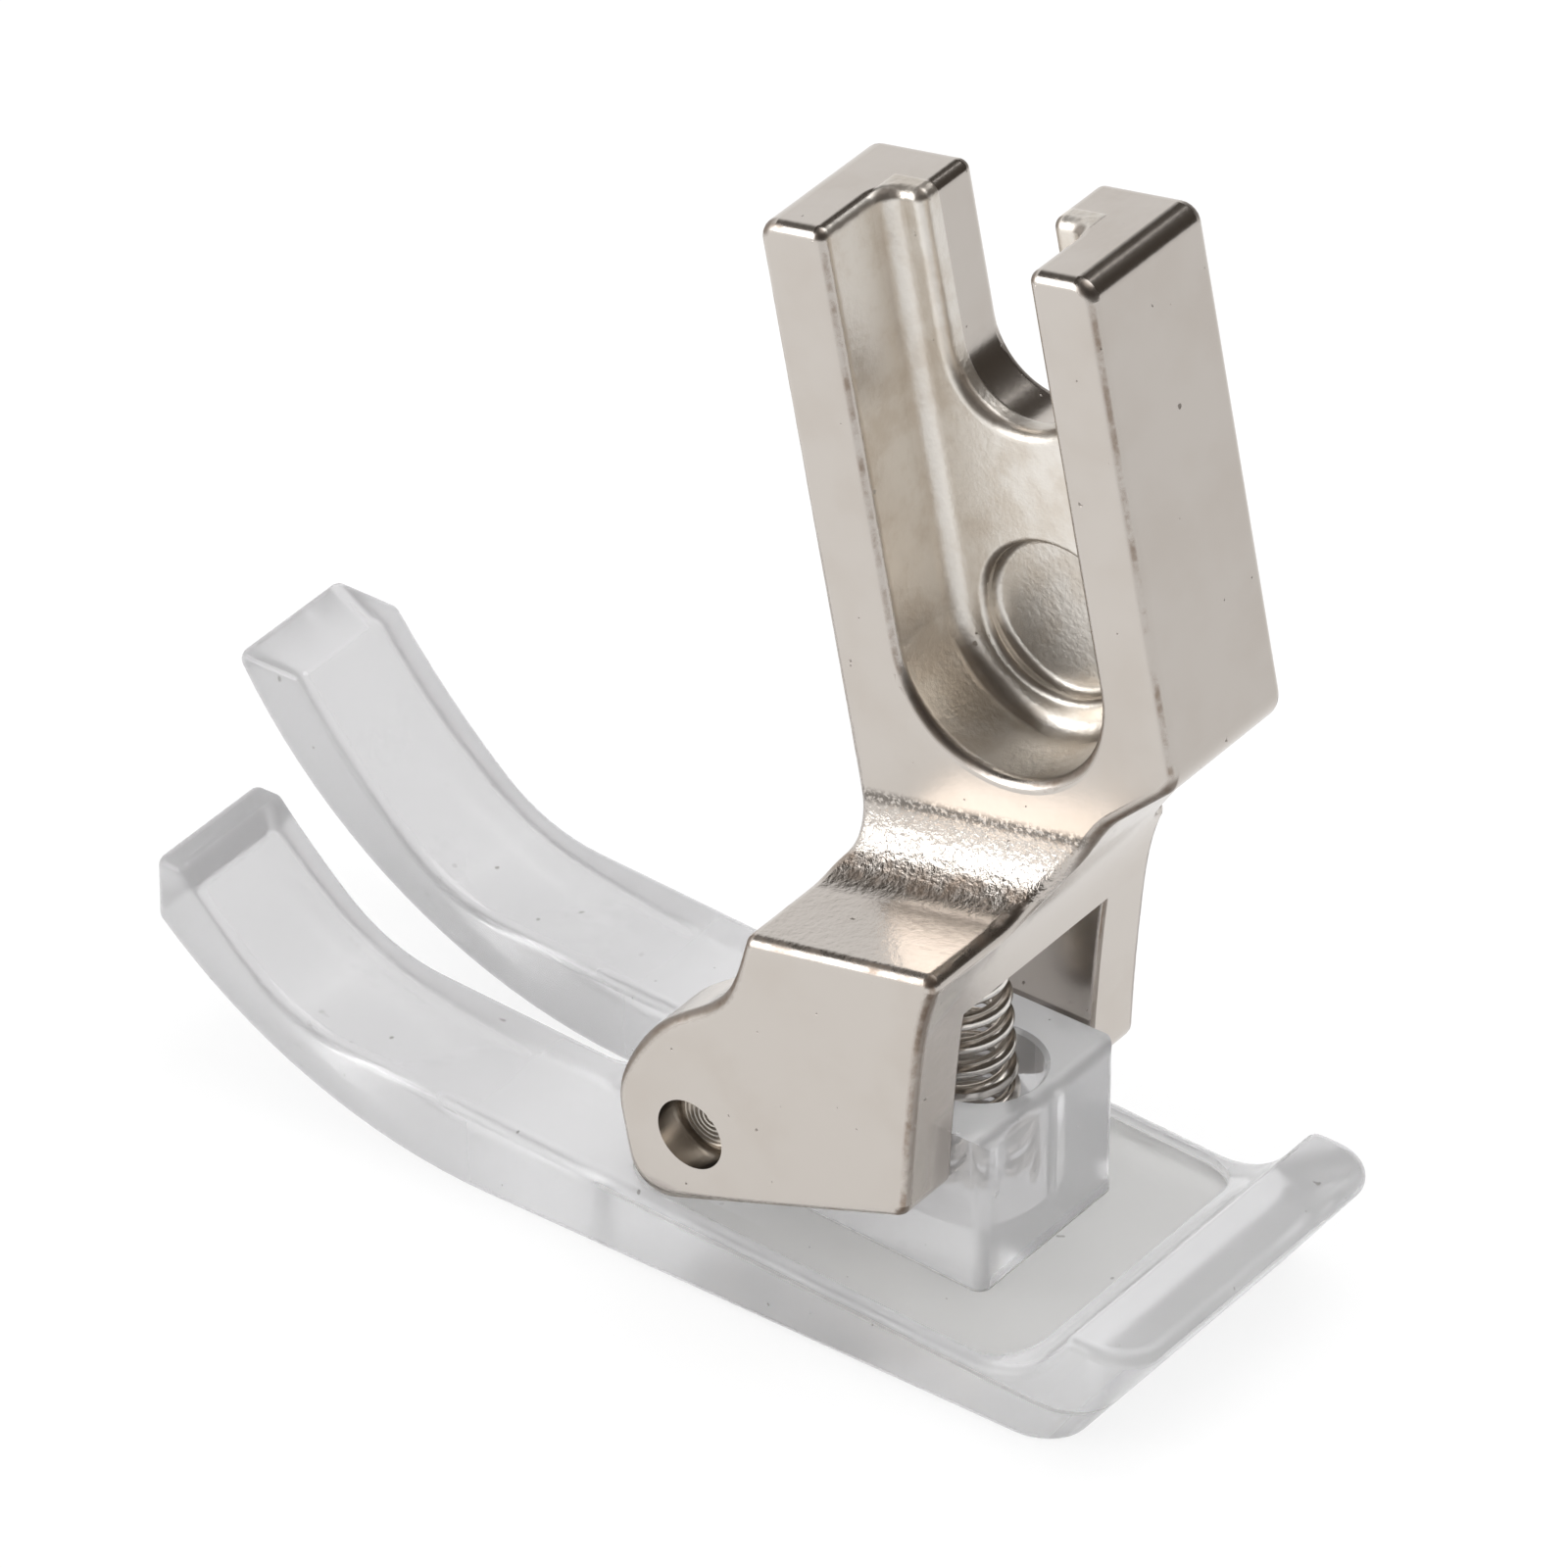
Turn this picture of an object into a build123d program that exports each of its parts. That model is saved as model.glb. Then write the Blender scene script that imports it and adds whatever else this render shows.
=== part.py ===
from build123d import *
from math import cos, radians, sin, tan
import os

os.makedirs("parts", exist_ok=True)

# Millimetres. The sole stands on z = 0, the toes point to -Y, the open side of the shank to +X.
# The hinge pin runs along X above the origin. The shank leans to the toes, as it rests.

# Hinge and lean
hinge_z = 4.76
lean_deg = 11.6
pin_r = 1.06
pin_play = 0.04
pin_recess = 1.0

# Width of the clevis and of the tongue in it
clevis_w = 10.6
clevis_half = clevis_w / 2
cheek_t = 2.15
gap_w = clevis_w - 2 * cheek_t
tongue_side_gap = 0.1

# Presser bar channel and screw slot
channel_w = 6.6
channel_u = 9.25
channel_arc_v = 13.45
channel_depth = 2.75
back_wall = 2.3
far_shoulder = 0.7
far_face_x = -clevis_half + far_shoulder
near_face_x = far_face_x + back_wall + channel_depth
slot_w = 4.15
slot_arc_v = 21.2
recess_r = 2.35
recess_depth = 0.55
recess_rim_r = 0.22
recess_floor_r = 0.25

# Upper block of the shank
toe_ear_w = 2.2
heel_ear_w = 2.1
top_v = 25.85
heel_corner_v = 10.9
ledge_v = 6.75
neck_fillet_r = 1.9
nose_u = -2.45
sill_mid_v = -2.17
sill_slope = 0.151
sill_heel_u = 7.0
sill_heel_r = 0.5
chin_r = 1.2
far_fillet_r = 0.45
bridge_low_v = 4.45
soft_edge_r = 0.35
top_corner_r = 0.6
block_heel_r = 0.9
channel_corner_r = 0.6
hidden_edge_r = 0.15

# Sole
sole_w = 11.6
sole_half = sole_w / 2
sole_t = 2.38
sole_taper = 0.048
slot_half = 1.3
slot_end_y = -4.4
toe_under_start = -6.6
toe_under_r = 16.3
toe_under_deg = 66
toe_knee_y = toe_under_start - 4.75
toe_knee_r = 5.2
toe_knee_deg = 38
toe_back_r = 25.0
toe_back_deg = 18
long_toe_z = 8.3
short_toe_z = 6.55
short_toe_y = -17.85
floor_end_y = 9.6
floor_toe_y = -2.6
floor_heel_y = 10.9
floor_rim = 0.4
floor_depth = 0.35
floor_corner_r = 1.5
lip_inner_y = 12.75
lip_outer_y = 15.3
lip_z = 4.05
lip_foot_y = 12.4
heel_corner_r = 1.3
sole_edge_r = 0.35
tongue_edge_r = 0.4
tongue_heel_y = 8.06
tongue_top_z = hinge_z + 1.82

# Spring
spring_y = 5.75
spring_bore_r = 1.75
spring_floor_z = 2.9
spring_coil_r = 1.05
wire_r = 0.24
spring_lean_deg = 6.0
spring_turns = 9
seat_gap = 0.03

# Values that follow
shank_side = Plane(
    origin=(0, 0, hinge_z),
    x_dir=(0, cos(radians(lean_deg)), sin(radians(lean_deg))),
    z_dir=(1, 0, 0),
)
shank_front = Plane(
    origin=(0, 0, hinge_z),
    x_dir=(1, 0, 0),
    z_dir=(0, -cos(radians(lean_deg)), -sin(radians(lean_deg))),
)
block_toe_u = channel_u - channel_w / 2 - toe_ear_w
block_heel_u = channel_u + channel_w / 2 + heel_ear_w
tongue_w = gap_w - 2 * tongue_side_gap
nose_r = tongue_top_z - hinge_z
sunk_floor = Plane(
    origin=(0, 0, sole_t - floor_depth),
    x_dir=(1, 0, 0),
    z_dir=(0, sole_taper, 1),
)
spring_dir = Vector(0, -sin(radians(spring_lean_deg)), cos(radians(spring_lean_deg)))
coil_dip = spring_coil_r * sin(radians(spring_lean_deg))
spring_start_z = spring_floor_z + wire_r + coil_dip + seat_gap
spring_top_y = spring_y - spring_coil_r - 0.7


def bridge_under_z(y):
    return hinge_z + y * tan(radians(lean_deg)) + bridge_low_v / cos(radians(lean_deg))


def sill_v(u):
    return sill_mid_v + sill_slope * u


def along_shank(edge):
    return shank_side.to_local_coords(edge.center()).Y


def sole_top(y):
    return sole_t - sole_taper * y


# Shank, one casting

with BuildPart() as shank:
    # Block, neck and clevis, as one outline seen from the side
    with BuildSketch(shank_side.offset(-clevis_half)):
        with BuildLine():
            Polyline(
                (block_toe_u, ledge_v + 4.2),
                (block_toe_u, top_v),
                (block_heel_u, top_v),
                (block_heel_u, heel_corner_v),
                (12.4, 9.45),
            )
            heel_edge = Spline(
                (12.4, 9.45),
                (11.05, 8.05),
                (9.6, 6.5),
                (8.2, 3.3),
                (sill_heel_u, sill_v(sill_heel_u)),
                tangents=[(-1.5, -1), (-0.24, -1)],
            )
            Polyline(
                heel_edge @ 1,
                (nose_u, sill_v(nose_u)),
                (nose_u, 0.2),
            )
            Spline(
                (nose_u, 0.2),
                (-1.84, 1.88),
                (-0.33, 3.36),
                (2.1, 4.82),
                (3.2, 6.75),
                (block_toe_u, ledge_v + 4.2),
                tangents=[(0, 1), (0, 1)],
            )
        make_face()
        fillet(vertices().filter_by(lambda v: v.Y > top_v - 0.1), top_corner_r)
        fillet(vertices().filter_by(lambda v: abs(v.Y - heel_corner_v) < 0.01 and v.X > channel_u), block_heel_r)
        fillet(vertices().filter_by(lambda v: abs(v.X - sill_heel_u) < 0.01), sill_heel_r)
        fillet(vertices().filter_by(lambda v: abs(v.X - nose_u) < 0.01 and v.Y < 0), chin_r)
    extrude(amount=clevis_w)
    # Seen along the foot: wide clevis, narrow block, a concave fillet down to each ledge
    with BuildSketch(shank_front):
        with BuildLine():
            Polyline(
                (near_face_x, ledge_v + neck_fillet_r),
                (near_face_x, top_v + 1),
                (far_face_x, top_v + 1),
                (far_face_x, ledge_v + far_fillet_r),
            )
            far_fillet = RadiusArc(
                (far_face_x, ledge_v + far_fillet_r),
                (far_face_x - far_fillet_r, ledge_v),
                far_fillet_r,
            )
            Polyline(
                far_fillet @ 1,
                (-clevis_half, ledge_v),
                (-clevis_half, -4),
                (clevis_half, -4),
                (clevis_half, ledge_v),
                (near_face_x + neck_fillet_r, ledge_v),
            )
            RadiusArc(
                (near_face_x + neck_fillet_r, ledge_v),
                (near_face_x, ledge_v + neck_fillet_r),
                neck_fillet_r,
            )
        make_face()
    extrude(amount=40, both=True, mode=Mode.INTERSECT)
    # Channel for the presser bar, round at the bottom, open at the top
    with BuildSketch(shank_side.offset(near_face_x)):
        with Locations((channel_u, channel_arc_v)):
            Circle(channel_w / 2)
        with Locations((channel_u, (channel_arc_v + top_v) / 2 + 1)):
            Rectangle(channel_w, top_v - channel_arc_v + 2)
    extrude(amount=-channel_depth, mode=Mode.SUBTRACT)
    channel_corners = shank.edges().filter_by(
        lambda e: e.bounding_box().size.X < 0.001
        and abs(e.center().X - near_face_x + channel_depth) < 0.01
        and along_shank(e) < top_v - 0.1
    )
    fillet(channel_corners, channel_corner_r)
    # Slot for the clamp screw, through the back wall
    with BuildSketch(shank_side.offset(near_face_x)):
        with Locations((channel_u, slot_arc_v)):
            Circle(slot_w / 2)
        with Locations((channel_u, (slot_arc_v + top_v) / 2 + 1)):
            Rectangle(slot_w, top_v - slot_arc_v + 2)
    extrude(amount=-10, mode=Mode.SUBTRACT)
    # Round recess in the floor of the channel
    with BuildSketch(shank_side.offset(near_face_x - channel_depth)):
        with Locations((channel_u, channel_arc_v)):
            Circle(recess_r)
    extrude(amount=-recess_depth, mode=Mode.SUBTRACT)
    recess_edges = shank.edges().filter_by(GeomType.CIRCLE).filter_by(
        lambda e: abs(e.radius - recess_r) < 0.001
    )
    fillet(recess_edges.sort_by(Axis.X)[:1], recess_floor_r)
    fillet(recess_edges.sort_by(Axis.X)[-1:], recess_rim_r)
    # Soft edges of the casting, all but the two lines where a fillet runs into a flat
    def is_seam(edge):
        x = edge.center().X
        along = along_shank(edge)
        return edge.bounding_box().size.X < 0.001 and (
            (abs(x - near_face_x) < 0.01 and abs(along - ledge_v - neck_fillet_r) < 0.01)
            or (abs(x - near_face_x - neck_fillet_r) < 0.01 and abs(along - ledge_v) < 0.01)
            or (abs(x - far_face_x) < 0.01 and abs(along - ledge_v - far_fillet_r) < 0.01)
            or (abs(x - far_face_x + far_fillet_r) < 0.01 and abs(along - ledge_v) < 0.01)
        )

    def is_soft(edge):
        box = edge.bounding_box()
        along = along_shank(edge)
        on_side = box.min.X > near_face_x - 0.01 or box.max.X < far_face_x + 0.01
        on_top = abs(along - top_v) < 0.01
        on_slot = (
            box.size.X < 0.001
            and abs(edge.center().X - near_face_x + channel_depth) < 0.01
            and slot_arc_v - slot_w < along < top_v - 0.1
            and edge.length < 2 * slot_w
        )
        return (on_side and not is_seam(edge)) or on_top or on_slot

    fillet(shank.edges().filter_by(is_soft), soft_edge_r)
    # Gap between the cheeks, open at the toe, the heel and below
    with BuildSketch(shank_side.offset(-gap_w / 2)):
        with Locations((channel_u / 2, bridge_low_v - clevis_half)):
            Rectangle(3 * channel_u, clevis_w)
    extrude(amount=gap_w, mode=Mode.SUBTRACT)
    # Pin hole through both cheeks
    with BuildSketch(shank_side.offset(-clevis_half - 1)):
        Circle(pin_r)
    extrude(amount=clevis_w + 2, mode=Mode.SUBTRACT)
    # Thin rounding along the inner edges of the cheeks
    hidden_edges = shank.edges().filter_by(
        lambda e: e.bounding_box().size.X < 0.001
        and e.geom_type != GeomType.CIRCLE
        and e.length > 0.6
        and abs(abs(e.center().X) - gap_w / 2) < 0.01
        and abs(along_shank(e) - bridge_low_v) > 0.01
    )
    fillet(hidden_edges, hidden_edge_r)
shank.part.label = "shank"
export_step(shank.part, "parts/shank.step")

# Hinge pin

with BuildPart() as hinge_pin:
    with BuildSketch(Plane.YZ.offset(-clevis_half + pin_recess)):
        with Locations((0, hinge_z)):
            Circle(pin_r)
    extrude(amount=clevis_w - 2 * pin_recess)
    chamfer(hinge_pin.edges().filter_by(GeomType.CIRCLE), 0.15)
hinge_pin.part.label = "hinge_pin"
export_step(hinge_pin.part, "parts/hinge_pin.step")

# Sole, one clear moulding

with BuildPart() as sole:
    # Plate with both toes turned up and the heel lip, as one outline from the side
    with BuildSketch(Plane.YZ.offset(-sole_half)):
        with BuildLine():
            under = Line((lip_foot_y, 0), (toe_under_start, 0))
            toe_under = JernArc(start=under @ 1, tangent=(-1, 0), radius=toe_under_r, arc_size=-toe_under_deg)
            upper = Line((floor_end_y, sole_top(floor_end_y)), (toe_knee_y, sole_top(toe_knee_y)))
            knee = JernArc(start=upper @ 1, tangent=(-1, sole_taper), radius=toe_knee_r, arc_size=-toe_knee_deg)
            toe_back = JernArc(start=knee @ 1, tangent=knee % 1, radius=toe_back_r, arc_size=-toe_back_deg)
            Line(toe_under @ 1, toe_back @ 1)
            lip_rise = Spline(
                upper @ 0,
                (11.6, 2.62),
                (lip_inner_y, lip_z),
                tangents=[(1, -sole_taper), (0.62, 0.78)],
            )
            lip_top = Line(lip_rise @ 1, (lip_outer_y, lip_z))
            Line(lip_top @ 1, under @ 0)
        make_face()
    extrude(amount=sole_w)
    # Rounded heel corners, along the slope of the lip
    heel_corners = sole.edges().filter_by(
        lambda e: abs(abs(e.center().X) - sole_half) < 0.01
        and e.center().Y > lip_foot_y
        and e.bounding_box().size.Z > 3
        and e.bounding_box().size.Y > 2
        and e.bounding_box().min.Z < 0.01
    )
    fillet(heel_corners, heel_corner_r)
    # Shallow floor sunk in the plate, where the cheeks stand over it
    with BuildSketch(sunk_floor):
        with Locations((0, (floor_toe_y + floor_heel_y) / 2)):
            RectangleRounded(sole_w - 2 * floor_rim, floor_heel_y - floor_toe_y, floor_corner_r)
    extrude(amount=2, mode=Mode.SUBTRACT)
    # Level cut over the long toe, and the square cut of the short one
    with BuildSketch(Plane.XY.offset(long_toe_z)):
        with Locations((0, short_toe_y)):
            Rectangle(2 * sole_w, 2 * sole_w)
    extrude(amount=10, mode=Mode.SUBTRACT)
    with BuildSketch(Plane.XY.offset(short_toe_z)):
        with Locations((sole_half, short_toe_y)):
            Rectangle(sole_w, 2 * sole_w)
    extrude(amount=10, mode=Mode.SUBTRACT)
    with BuildSketch(Plane.XY):
        with Locations((sole_half, short_toe_y - sole_half)):
            Rectangle(sole_w, sole_w)
    extrude(amount=20, mode=Mode.SUBTRACT)
    # Needle slot between the toes
    with BuildSketch(Plane.XY.offset(-1)):
        with Locations((0, slot_end_y - slot_half - sole_w)):
            Rectangle(2 * slot_half, 2 * sole_w)
        with Locations((0, slot_end_y - slot_half)):
            Circle(slot_half)
    extrude(amount=20, mode=Mode.SUBTRACT)
    # Softened edges of the moulding
    def is_softened(edge):
        box = edge.bounding_box()
        at = edge.center()
        on_side = (
            box.size.X < 0.001
            and min(abs(abs(at.X) - sole_half), abs(abs(at.X) - slot_half)) < 0.01
            and not (box.size.Y < 0.01 and at.Y > toe_knee_y)
            and not (at.Y > lip_foot_y - 1 and box.min.Z < 0.01)
        )
        on_tip = (
            box.size.X > 4
            and at.Y < short_toe_y + 1
            and min(abs(at.Z - long_toe_z), abs(at.Z - short_toe_z), abs(at.Y - short_toe_y)) < 0.01
        )
        on_lip = abs(at.Z - lip_z) < 0.01
        return on_side or on_tip or on_lip

    fillet(sole.edges().filter_by(is_softened), sole_edge_r)
    # Tongue with the hinge nose
    with BuildSketch(Plane.YZ.offset(-tongue_w / 2)):
        with Locations((tongue_heel_y / 2, (tongue_top_z + 1) / 2)):
            Rectangle(tongue_heel_y, tongue_top_z - 1)
        with Locations((0, hinge_z)):
            Circle(nose_r)
        with Locations((-nose_r / 2, (hinge_z + 1) / 2)):
            Rectangle(nose_r, hinge_z - 1)
    extrude(amount=tongue_w)
    tongue_edges = sole.edges().filter_by(
        lambda e: (e.bounding_box().size.Z > 3 or e.center().Z > tongue_top_z - 0.01)
        and abs(e.center().Y - tongue_heel_y) < 0.01
    )
    fillet(tongue_edges, tongue_edge_r)
    # Hinge bore and spring bore
    with BuildSketch(Plane.YZ.offset(-tongue_w / 2 - 1)):
        with Locations((0, hinge_z)):
            Circle(pin_r + pin_play)
    extrude(amount=tongue_w + 2, mode=Mode.SUBTRACT)
    with BuildSketch(Plane.XY.offset(spring_floor_z)):
        with Locations((0, spring_y)):
            Circle(spring_bore_r)
    extrude(amount=10, mode=Mode.SUBTRACT)
    bore_rim = sole.edges().filter_by(GeomType.CIRCLE).filter_by(
        lambda e: abs(e.center().Z - tongue_top_z) < 0.01 and abs(e.radius - spring_bore_r) < 0.01
    )
    chamfer(bore_rim, 0.12)
sole.part.label = "sole"
export_step(sole.part, "parts/sole.step")

# Spring, standing in its bore and leaning with the bridge it pushes on

spring_end_z = bridge_under_z(spring_top_y) + coil_dip - 1.05 * wire_r - seat_gap
spring_rise = (spring_end_z - spring_start_z) / cos(radians(spring_lean_deg))
with BuildPart() as spring:
    with BuildLine():
        coil = Helix(
            pitch=spring_rise / spring_turns,
            height=spring_rise,
            radius=spring_coil_r,
            center=(0, spring_y, spring_start_z),
            direction=spring_dir,
        )
    with BuildSketch(Plane(origin=coil @ 0, z_dir=coil % 0)):
        Circle(wire_r)
    sweep()
spring.part.label = "spring"
export_step(spring.part, "parts/spring.step")
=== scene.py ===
import bpy
from math import cos, radians, sin
from mathutils import Matrix, Vector


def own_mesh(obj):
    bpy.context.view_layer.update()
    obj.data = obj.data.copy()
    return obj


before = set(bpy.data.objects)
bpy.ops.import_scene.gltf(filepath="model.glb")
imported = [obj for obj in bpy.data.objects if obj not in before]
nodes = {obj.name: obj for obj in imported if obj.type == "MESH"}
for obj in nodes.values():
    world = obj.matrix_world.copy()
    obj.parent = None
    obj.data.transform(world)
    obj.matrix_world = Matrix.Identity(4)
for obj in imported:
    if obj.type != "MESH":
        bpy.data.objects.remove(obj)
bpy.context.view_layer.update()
bpy.context.scene.view_settings.view_transform = "Standard"


# Studio
# A wide white table under the foot. The room is white low down and on the toes' side, and
# dark brown overhead, with two square soft lamps that show in the plating.

def put(tree, kind, inputs=None, **settings):
    node = tree.nodes.new("ShaderNode" + kind)
    for name, value in settings.items():
        setattr(node, name, value)
    for name, value in (inputs or {}).items():
        if isinstance(value, bpy.types.NodeSocket):
            tree.links.new(value, node.inputs[name])
        else:
            node.inputs[name].default_value = value
    return node


def maths(tree, operation, *terms):
    return put(tree, "Math", dict(enumerate(terms)), operation=operation).outputs[0]


def new_material(name):
    material = bpy.data.materials.new(name)
    material.use_nodes = True
    material.node_tree.nodes.clear()
    return material, material.node_tree


table_half = 3
table_z = -0.00002
table_bounce = (0.80, 0.80, 0.80, 1)
table_paint = (0.22, 0.22, 0.22, 1)
table_glow = 0.78
dim_from_y = 0.010
dim_to_y = 0.035
dim_in_mirror = 0.17
table_corners = [
    (-table_half, -table_half, table_z),
    (table_half, -table_half, table_z),
    (table_half, table_half, table_z),
    (-table_half, table_half, table_z),
]
table_mesh = bpy.data.meshes.new("table")
table_mesh.from_pydata(table_corners, [], [(0, 1, 2, 3)])
table = bpy.data.objects.new("table", table_mesh)
bpy.context.scene.collection.objects.link(table)
white_table, tree = new_material("white_table")
paint = put(tree, "BsdfDiffuse", {"Color": table_paint}).outputs[0]
rays = put(tree, "LightPath").outputs
spot = put(tree, "SeparateXYZ", {0: put(tree, "TexCoord").outputs["Object"]}).outputs
dimming = {"Value": spot["Y"], "From Min": dim_from_y, "From Max": dim_to_y, "To Max": dim_in_mirror}
dimmed = put(tree, "MapRange", dimming).outputs[0]
dimmed = maths(tree, "MULTIPLY", dimmed, rays["Is Glossy Ray"])
glow_left = maths(tree, "SUBTRACT", table_glow, dimmed)
glow = put(tree, "Emission", {"Strength": glow_left}).outputs[0]
lit = put(tree, "AddShader", {0: paint, 1: glow}).outputs[0]
seen = maths(tree, "MAXIMUM", rays["Is Camera Ray"], rays["Is Glossy Ray"])
seen = maths(tree, "MAXIMUM", seen, rays["Is Transmission Ray"])
bounce = put(tree, "BsdfDiffuse", {"Color": table_bounce}).outputs[0]
table_look = put(tree, "MixShader", {0: seen, 1: bounce, 2: lit}).outputs[0]
put(tree, "OutputMaterial", {"Surface": table_look})
table_mesh.materials.append(white_table)

room_dark_side = Vector((0.0, 0.45, 0.90)).normalized()
room_dark = (0.055, 0.045, 0.036, 1)
room_white = (1, 1, 1, 1)
white_up_to = 0.10
dark_from = 0.20
sky_strength = 1.05
backdrop_strength = 1.0
world = bpy.data.worlds.new("studio")
bpy.context.scene.world = world
world.use_nodes = True
tree = world.node_tree
tree.nodes.clear()
sky = put(tree, "Background", {"Strength": sky_strength}).outputs[0]
look = put(tree, "TexCoord").outputs["Generated"]
towards_dark = put(tree, "VectorMath", {0: look, 1: room_dark_side}, operation="DOT_PRODUCT")
room_ramp = put(tree, "ValToRGB", {"Fac": towards_dark.outputs["Value"]})
white_stop, dark_stop = room_ramp.color_ramp.elements
white_stop.position = white_up_to
white_stop.color = room_white
dark_stop.position = dark_from
dark_stop.color = room_dark
room = put(tree, "Background", {"Color": room_ramp.outputs["Color"]}).outputs[0]
backdrop = put(tree, "Background", {"Strength": backdrop_strength}).outputs[0]
rays = put(tree, "LightPath").outputs
straight = maths(tree, "MAXIMUM", rays["Is Camera Ray"], rays["Is Transmission Ray"])
mirrored = put(tree, "MixShader", {0: rays["Is Glossy Ray"], 1: sky, 2: room}).outputs[0]
world_look = put(tree, "MixShader", {0: straight, 1: mirrored, 2: backdrop}).outputs[0]
put(tree, "OutputWorld", {"Surface": world_look})

lamp_distance = 0.6
for name, toward, width, power in (
    ("lamp_toes", (0.70, -0.62, 0.36), 0.40, 1.45),
    ("lamp_over", (-0.25, 0.15, 0.95), 0.40, 1.25),
):
    lamp_data = bpy.data.lights.new(name, "AREA")
    lamp_data.size = width
    lamp_data.energy = power
    lamp = bpy.data.objects.new(name, lamp_data)
    aim = Vector(toward).normalized()
    lamp_turn = aim.to_track_quat("Z", "Y").to_matrix().to_4x4()
    lamp.matrix_world = Matrix.Translation(aim * lamp_distance) @ lamp_turn
    bpy.context.scene.collection.objects.link(lamp)


# Camera
# It stands well back, level with the photograph: high on the heel's side, looking down
# past the open channel at the toes. Its values come from matching the shank's corners.

hinge = Vector((0, 0, 0.00476))
view_az = radians(126.428)
view_el = radians(35.383)
view_roll = radians(0.206)
metres_per_unit = 0.90411e-3
focal_px = 15648.27
hinge_px = (824.064, 1061.678)
image_px = 1600
stand_off = 457.238
film_mm = 36
back = Vector((sin(view_az) * cos(view_el), -cos(view_az) * cos(view_el), sin(view_el)))
level = Vector((0, 0, 1)).cross(back).normalized()
upright = back.cross(level)
right = level * cos(view_roll) + upright * sin(view_roll)
up = upright * cos(view_roll) - level * sin(view_roll)
shift_right = (hinge_px[0] - image_px / 2) / focal_px * stand_off
shift_down = (hinge_px[1] - image_px / 2) / focal_px * stand_off
stand = back * stand_off - right * shift_right + up * shift_down
camera_data = bpy.data.cameras.new("camera")
camera_data.lens = film_mm * focal_px / image_px
camera_data.sensor_width = film_mm
camera_data.clip_start = 0.01
camera_data.clip_end = 20
camera = bpy.data.objects.new("camera", camera_data)
camera_turn = Matrix((right, up, back)).transposed().to_4x4()
camera.matrix_world = Matrix.Translation(hinge + metres_per_unit * stand) @ camera_turn
bpy.context.scene.collection.objects.link(camera)
bpy.context.scene.camera = camera


# Shank
# One casting in nickel plate: a channel block for the presser bar, a neck with a hollow
# fillet, and two cheeks. The plate is satin bright, with cast grain in the neck,
# small pits, and a brown tarnish that stays where a cloth doesn't reach. The channel
# is painted lighter than the rest of the plate (painted light), and the corners carry
# painted dark reflection.

def group_of(name, inputs, outputs):
    group = bpy.data.node_groups.new(name, "ShaderNodeTree")
    for label, kind in inputs:
        group.interface.new_socket(name=label, in_out="INPUT", socket_type="NodeSocket" + kind)
    for label, kind in outputs:
        group.interface.new_socket(name=label, in_out="OUTPUT", socket_type="NodeSocket" + kind)
    return group, group.nodes.new("NodeGroupInput").outputs


def noise(tree, place, size, detail=3.0, rough=0.55):
    settings = {"Vector": place, "Scale": 1.0 / size, "Detail": detail, "Roughness": rough}
    return put(tree, "TexNoise", settings).outputs["Fac"]


def band(tree, value, none_at, full_at, none=0.0, full=1.0):
    limits = {"Value": value, "From Min": none_at, "From Max": full_at, "To Min": none, "To Max": full}
    return put(tree, "MapRange", limits, interpolation_type="SMOOTHSTEP").outputs[0]


def both(tree, *masks):
    shared = masks[0]
    for mask in masks[1:]:
        shared = maths(tree, "MULTIPLY", shared, mask)
    return shared


def outside(tree, mask):
    return maths(tree, "SUBTRACT", 1.0, mask)


def blend(tree, amount, first, second):
    mix = put(tree, "Mix", data_type="RGBA")
    for socket, value in ((mix.inputs[0], amount), (mix.inputs[6], first), (mix.inputs[7], second)):
        if isinstance(value, bpy.types.NodeSocket):
            tree.links.new(value, socket)
        else:
            socket.default_value = value
    return mix.outputs[2]


stain_size = 0.0030
fine_size = 0.00022
pit_size = 0.00036
pit_dark = (0.10, 0.075, 0.055, 1)
worn_metal, given = group_of(
    "worn_metal",
    [("Place", "Vector"), ("Clean", "Color"), ("Tarnish", "Color"), ("Tarnish Amount", "Float"),
     ("Polish", "Float"), ("Grain", "Float"), ("Pits", "Float")],
    [("Color", "Color"), ("Roughness", "Float"), ("Height", "Float")],
)
cloud = noise(worn_metal, given["Place"], stain_size, 4.0)
fine = noise(worn_metal, given["Place"], fine_size, 3.0, 0.6)
pit_field = noise(worn_metal, given["Place"], pit_size, 2.0, 0.5)
pit = maths(worn_metal, "MULTIPLY", band(worn_metal, pit_field, 0.745, 0.795), given["Pits"])
stain = maths(worn_metal, "MULTIPLY", band(worn_metal, cloud, 0.42, 0.72), given["Tarnish Amount"])
tint = blend(worn_metal, stain, given["Clean"], given["Tarnish"])
tint = blend(worn_metal, maths(worn_metal, "MULTIPLY", pit, 0.55), tint, pit_dark)
dull = maths(worn_metal, "MULTIPLY_ADD", cloud, 0.07, given["Polish"])
dull = maths(worn_metal, "MULTIPLY_ADD", fine, 0.06, dull)
dull = maths(worn_metal, "MULTIPLY_ADD", pit, 0.30, dull)
relief = maths(worn_metal, "MULTIPLY", fine, given["Grain"])
relief = maths(worn_metal, "MULTIPLY_ADD", pit, -0.9, relief)
result = worn_metal.nodes.new("NodeGroupOutput")
for label, value in (("Color", tint), ("Roughness", dull), ("Height", relief)):
    worn_metal.links.new(value, result.inputs[label])


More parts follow.
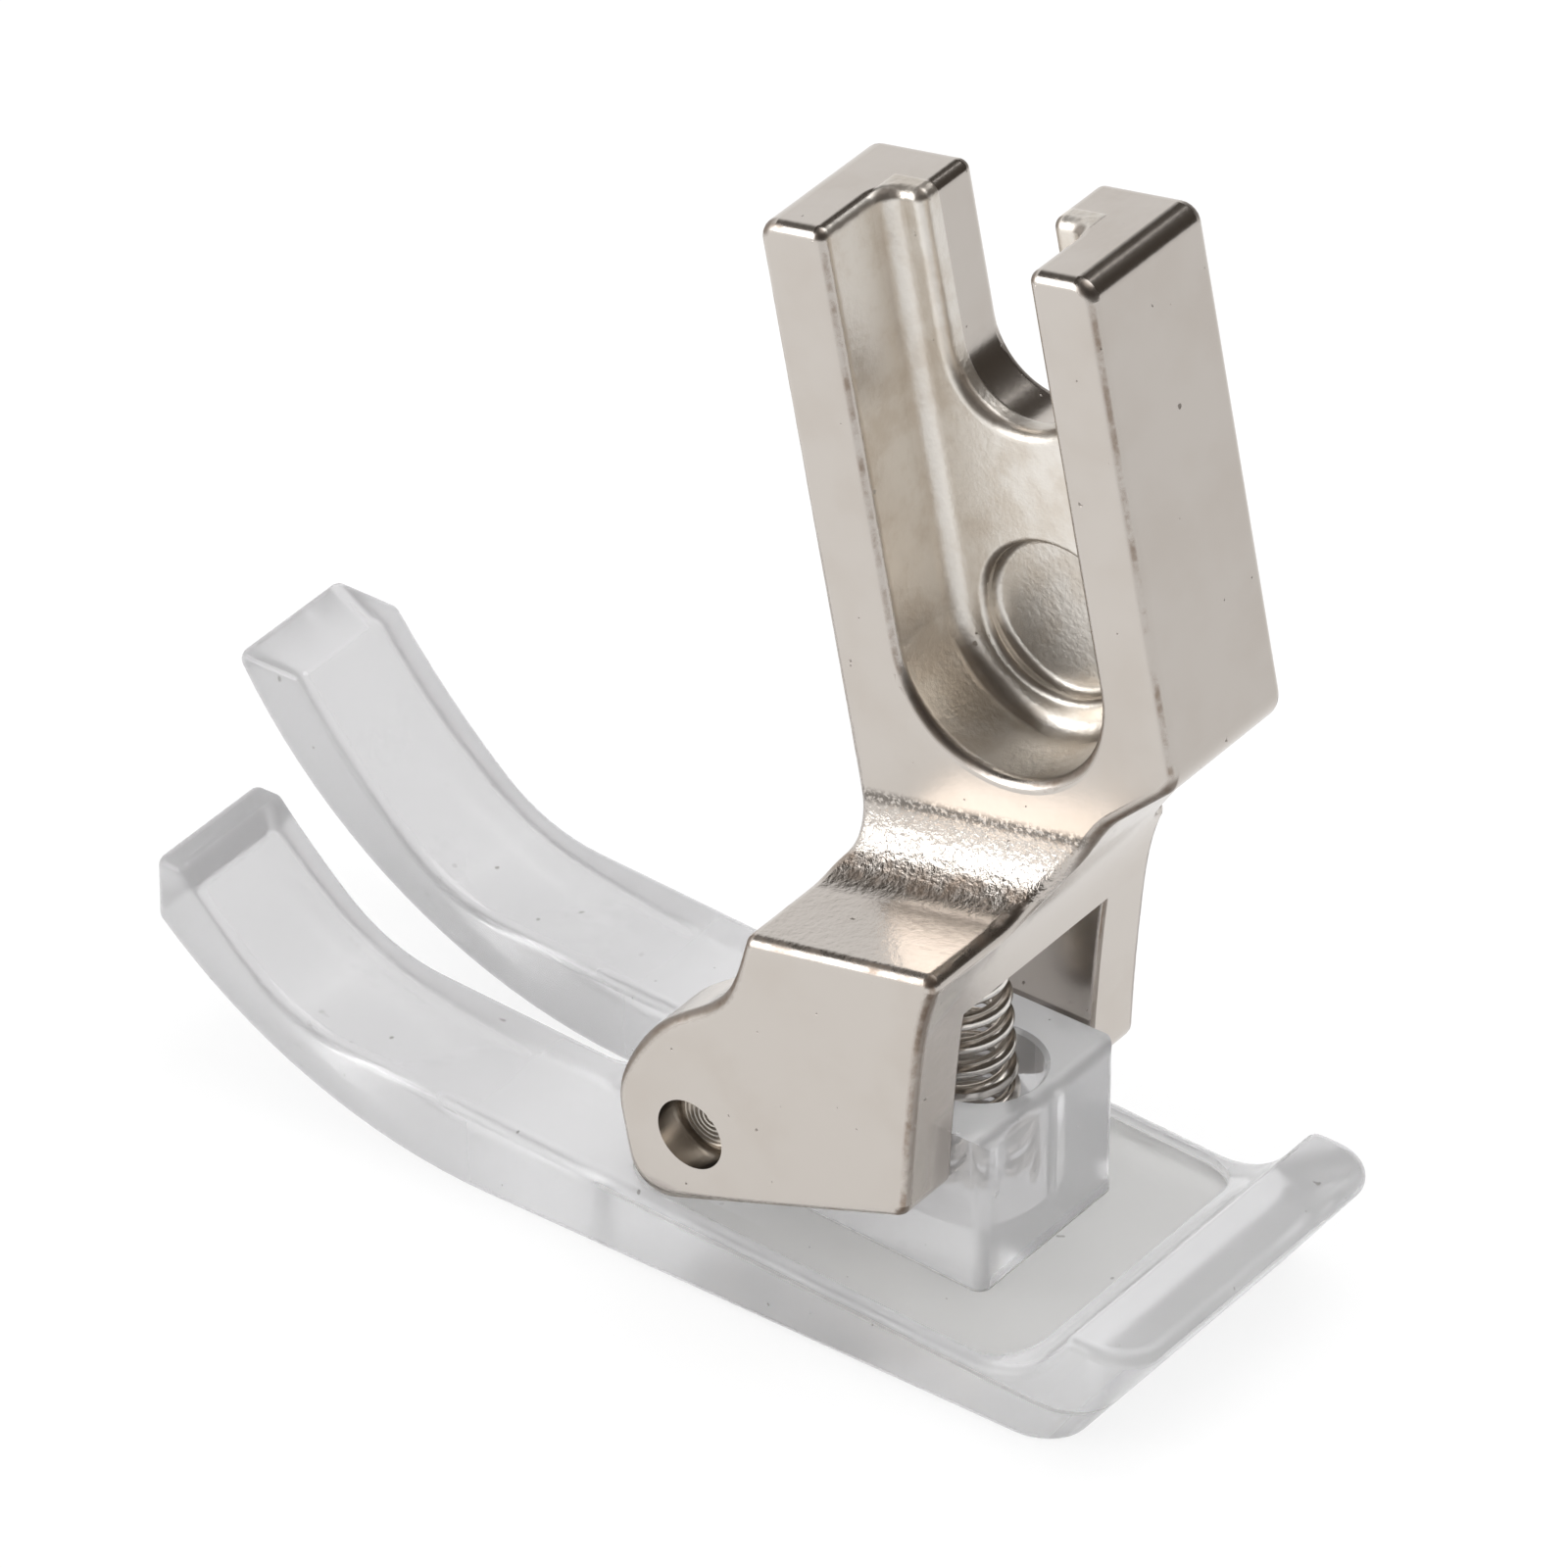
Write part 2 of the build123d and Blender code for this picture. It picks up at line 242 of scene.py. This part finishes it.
def worn(tree, place, clean, tarnish, tarnish_amount, polish, grain, pits):
    settings = {"Place": place, "Clean": clean, "Tarnish": tarnish, "Tarnish Amount": tarnish_amount,
                "Polish": polish, "Grain": grain, "Pits": pits}
    node = tree.nodes.new("ShaderNodeGroup")
    node.node_tree = worn_metal
    for label, value in settings.items():
        if isinstance(value, bpy.types.NodeSocket):
            tree.links.new(value, node.inputs[label])
        else:
            node.inputs[label].default_value = value
    return node.outputs


def relief_skin(tree, height, depth, strength):
    return put(tree, "Bump", {"Height": height, "Distance": depth, "Strength": strength}).outputs[0]


def metal_skin(tree, color, roughness, normal):
    looks = {"Base Color": color, "Roughness": roughness, "Metallic": 1.0, "Normal": normal}
    skin = put(tree, "BsdfPrincipled", looks).outputs[0]
    put(tree, "OutputMaterial", {"Surface": skin})


def dress(name, material):
    mesh = nodes[name].data
    if mesh.materials:
        mesh.materials[0] = material
    else:
        mesh.materials.append(material)


lean = radians(11.6)
near_face_x = 0.00045
ledge_up = 0.00675
crease_up = 0.00869
neck_top_up = 0.00865
channel_mid = 0.00925
channel_half = 0.0033
channel_foot_up = 0.0101
recess_floor_x = -0.00285
plate_clean = (0.580, 0.536, 0.494, 1)
plate_tarnish = (0.47, 0.41, 0.35, 1)
# A pale colour painted over the channel: painted light, not the plating's own colour.
channel_painted_light = (0.90, 0.86, 0.80, 1)
channel_stain = (0.50, 0.40, 0.29, 1)
edge_brown = (0.24, 0.15, 0.09, 1)
# Painted dark reflection for the rounded corners where three faces meet.
painted_corner_reflection = (0.12, 0.085, 0.06, 1)
crease_dark = (0.06, 0.05, 0.04, 1)
nickel, tree = new_material("nickel_plate")
place = put(tree, "TexCoord").outputs["Object"]
xyz = put(tree, "SeparateXYZ", {0: place}).outputs

# Height up the leaning block, and distance from the channel's middle, both from the hinge.
up_block = maths(tree, "MULTIPLY_ADD", xyz["Y"], -sin(lean), -hinge.z * cos(lean))
up_block = maths(tree, "MULTIPLY_ADD", xyz["Z"], cos(lean), up_block)
off_middle = maths(tree, "MULTIPLY", xyz["Y"], cos(lean))
off_middle = maths(tree, "MULTIPLY_ADD", xyz["Z"], sin(lean), off_middle)
off_middle = maths(tree, "ADD", off_middle, -hinge.z * sin(lean) - channel_mid)
off_middle = maths(tree, "ABSOLUTE", off_middle)
proud_of_face = band(tree, xyz["X"], near_face_x - 0.00015, near_face_x + 0.00005)
over_ledge = band(tree, up_block, ledge_up - 0.0001, ledge_up + 0.0003)
under_crease = band(tree, up_block, neck_top_up + 0.0002, neck_top_up - 0.0001)
in_neck = both(tree, proud_of_face, over_ledge, under_crease)
in_channel = both(
    tree,
    band(tree, off_middle, channel_half + 0.0002, channel_half + 0.0001),
    band(tree, xyz["X"], near_face_x - 0.0001, near_face_x - 0.0004),
    band(tree, xyz["X"], recess_floor_x - 0.0002, recess_floor_x - 0.0001),
    band(tree, up_block, channel_foot_up - 0.0002, channel_foot_up),
)

# Brown on the rounded edges, painted dark reflection at the corners, and a dark broken line along the
# crease over the neck.
facing = put(tree, "SeparateXYZ", {0: put(tree, "TexCoord").outputs["Normal"]}).outputs
sideways = maths(tree, "ABSOLUTE", facing["X"])
upward = maths(tree, "MULTIPLY", facing["Y"], -sin(lean))
upward = maths(tree, "MULTIPLY_ADD", facing["Z"], cos(lean), upward)
heelward = maths(tree, "MULTIPLY", facing["Y"], cos(lean))
heelward = maths(tree, "MULTIPLY_ADD", facing["Z"], sin(lean), heelward)
side_edge = both(
    tree,
    band(tree, sideways, 0.45, 0.65),
    band(tree, sideways, 0.93, 0.78),
    outside(tree, in_neck),
    outside(tree, in_channel),
)
off_ledge = maths(tree, "ABSOLUTE", maths(tree, "SUBTRACT", up_block, ledge_up))
ledge_edge = both(
    tree,
    band(tree, upward, 0.20, 0.50),
    band(tree, upward, 0.995, 0.93),
    band(tree, off_ledge, 0.0006, 0.0004),
    proud_of_face,
)
on_edge = maths(tree, "MAXIMUM", side_edge, ledge_edge)
patchy = band(tree, noise(tree, place, 0.0011, 5.0, 0.7), 0.40, 0.66)
brown_edge = both(tree, on_edge, patchy)
# Painted dark reflection: darkens the corners where the normal leans between all three faces.
painted_corner_mask = maths(tree, "MINIMUM", maths(tree, "ABSOLUTE", heelward), maths(tree, "ABSOLUTE", upward))
painted_corner_mask = band(tree, maths(tree, "MINIMUM", painted_corner_mask, sideways), 0.08, 0.36)
painted_corner_mask = both(tree, painted_corner_mask, outside(tree, in_neck))
# A dark broken line along the crease at the top of the neck fillet.
off_crease = maths(tree, "ABSOLUTE", maths(tree, "SUBTRACT", up_block, crease_up))
crease_breakup = band(tree, noise(tree, place, 0.00014, 3.0, 0.7), 0.40, 0.54)
crease = both(tree, band(tree, off_crease, 0.00034, 0.00004), proud_of_face, crease_breakup)

grain = maths(tree, "MULTIPLY_ADD", in_neck, 3.6, 0.14)
grain = maths(tree, "MULTIPLY_ADD", in_channel, 0.80, grain)
metal = worn(tree, place, plate_clean, plate_tarnish, 0.22, 0.15, grain, 1.0)
mottle = band(tree, noise(tree, place, 0.0016, 4.0, 0.6), 0.42, 0.66)
mottle = both(tree, mottle, in_channel)
tone = metal["Color"]
# The channel gets the pale painted light; the corners get painted dark reflection.
for mask, strength, color in (
    (in_channel, 0.80, channel_painted_light),
    (mottle, 0.32, channel_stain),
    (brown_edge, 0.60, edge_brown),
    (painted_corner_mask, 0.70, painted_corner_reflection),
    (crease, 0.85, crease_dark),
):
    tone = blend(tree, maths(tree, "MULTIPLY", mask, strength), tone, color)
finish = metal["Roughness"]
for mask, duller in ((in_channel, 0.16), (brown_edge, 0.22), (painted_corner_mask, 0.20)):
    finish = maths(tree, "MULTIPLY_ADD", mask, duller, finish)
metal_skin(tree, tone, finish, relief_skin(tree, metal["Height"], 0.00003, 0.6))
dress("shank", nickel)


# Hinge pin
# A short pin of ground steel pressed into both cheeks, its ends a little below their
# faces, with turned rings on each end.

ground_clean = (0.64, 0.60, 0.54, 1)
ground_tarnish = (0.36, 0.29, 0.22, 1)
ring_radians_per_metre = 42000.0
ring_height = 0.35
pin_steel, tree = new_material("pin_steel")
place = put(tree, "TexCoord").outputs["Object"]
from_hinge = put(tree, "VectorMath", {0: place, 1: tuple(-hinge)}, operation="ADD").outputs[0]
off_axis = put(tree, "VectorMath", {0: from_hinge, 1: (0, 1, 1)}, operation="MULTIPLY").outputs[0]
radius = put(tree, "VectorMath", {0: off_axis}, operation="LENGTH").outputs["Value"]
rings = maths(tree, "SINE", maths(tree, "MULTIPLY", radius, ring_radians_per_metre))
metal = worn(tree, place, ground_clean, ground_tarnish, 0.6, 0.28, 0.5, 0.6)
turned = maths(tree, "MULTIPLY_ADD", rings, ring_height, metal["Height"])
metal_skin(tree, metal["Color"], metal["Roughness"], relief_skin(tree, turned, 0.00003, 0.6))
dress("hinge_pin", pin_steel)


# Spring
# A coil of bright drawn wire that stands in the tongue's bore and pushes up under the
# bridge. Its wire is a little oily.

wire_clean = (0.80, 0.77, 0.73, 1)
wire_oil = (0.30, 0.24, 0.18, 1)
spring_wire, tree = new_material("spring_wire")
place = put(tree, "TexCoord").outputs["Object"]
metal = worn(tree, place, wire_clean, wire_oil, 0.4, 0.14, 0.25, 0.4)
drawn = relief_skin(tree, metal["Height"], 0.00002, 0.5)
metal_skin(tree, metal["Color"], metal["Roughness"], drawn)
dress("spring", spring_wire)
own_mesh(nodes["spring"])


# Sole
# One moulding in clear plastic gone slightly milky: a plate with two upturned toes, a
# heel lip and the tongue that takes the pin. The sunk floor of the plate is matt.

sunk_floor_z = 0.00203
plate_taper = 0.048
tongue_foot_z = 0.0019
tongue_half = 0.0044
milk_thin = (0.880, 0.877, 0.885, 1)
milk_thick = (0.935, 0.932, 0.940, 1)
floor_milk = (0.80, 0.795, 0.775, 1)
toe_painted_shade = (0.70, 0.695, 0.70, 1)
# The toes are painted darker than the rest of the sole: painted shade.
speck_dark = (0.42, 0.41, 0.39, 1)
# The tongue is painted lighter than the rest of the sole: painted light.
tongue_painted_light = (0.96, 0.955, 0.96, 1)
clear_plastic, tree = new_material("clear_plastic")
place = put(tree, "TexCoord").outputs["Object"]
xyz = put(tree, "SeparateXYZ", {0: place}).outputs
off_floor = maths(tree, "MULTIPLY_ADD", xyz["Y"], plate_taper, -sunk_floor_z)
off_floor = maths(tree, "ABSOLUTE", maths(tree, "ADD", off_floor, xyz["Z"]))
matt = both(tree, band(tree, off_floor, 0.00009, 0.00003), band(tree, xyz["Y"], -0.0030, -0.0024))
in_toes = band(tree, xyz["Y"], -0.0050, -0.0090)
off_centre = maths(tree, "ABSOLUTE", xyz["X"])
in_tongue = both(
    tree,
    band(tree, xyz["Z"], tongue_foot_z, tongue_foot_z + 0.0002),
    band(tree, off_centre, tongue_half + 0.0001, tongue_half),
    band(tree, xyz["Y"], -0.0026, -0.0023),
    band(tree, xyz["Y"], 0.0083, 0.0081),
)
cloud = noise(tree, place, 0.0035, 3.0)
speck = band(tree, noise(tree, place, 0.00045, 1.0), 0.765, 0.79)
milk = blend(tree, cloud, milk_thin, milk_thick)
milk = blend(tree, matt, milk, floor_milk)
# Painted shade over the toes.
milk = blend(tree, maths(tree, "MULTIPLY", in_toes, 0.55), milk, toe_painted_shade)
milk = blend(tree, speck, milk, speck_dark)
# Painted light over the tongue.
milk = blend(tree, maths(tree, "MULTIPLY", in_tongue, 0.8), milk, tongue_painted_light)
haze = band(tree, cloud, 0.3, 0.7, 0.15, 0.25)
haze = maths(tree, "MULTIPLY_ADD", in_tongue, -0.13, haze)
haze = maths(tree, "MULTIPLY_ADD", matt, 0.25, haze)
ripple = relief_skin(tree, noise(tree, place, 0.0012, 2.0), 0.00006, 0.10)
looks = {"Base Color": milk, "Roughness": haze, "IOR": 1.49, "Transmission Weight": 0.72,
         "Specular IOR Level": 0.35, "Normal": ripple}
body = put(tree, "BsdfPrincipled", looks).outputs[0]
put(tree, "OutputMaterial", {"Surface": body})
dress("sole", clear_plastic)
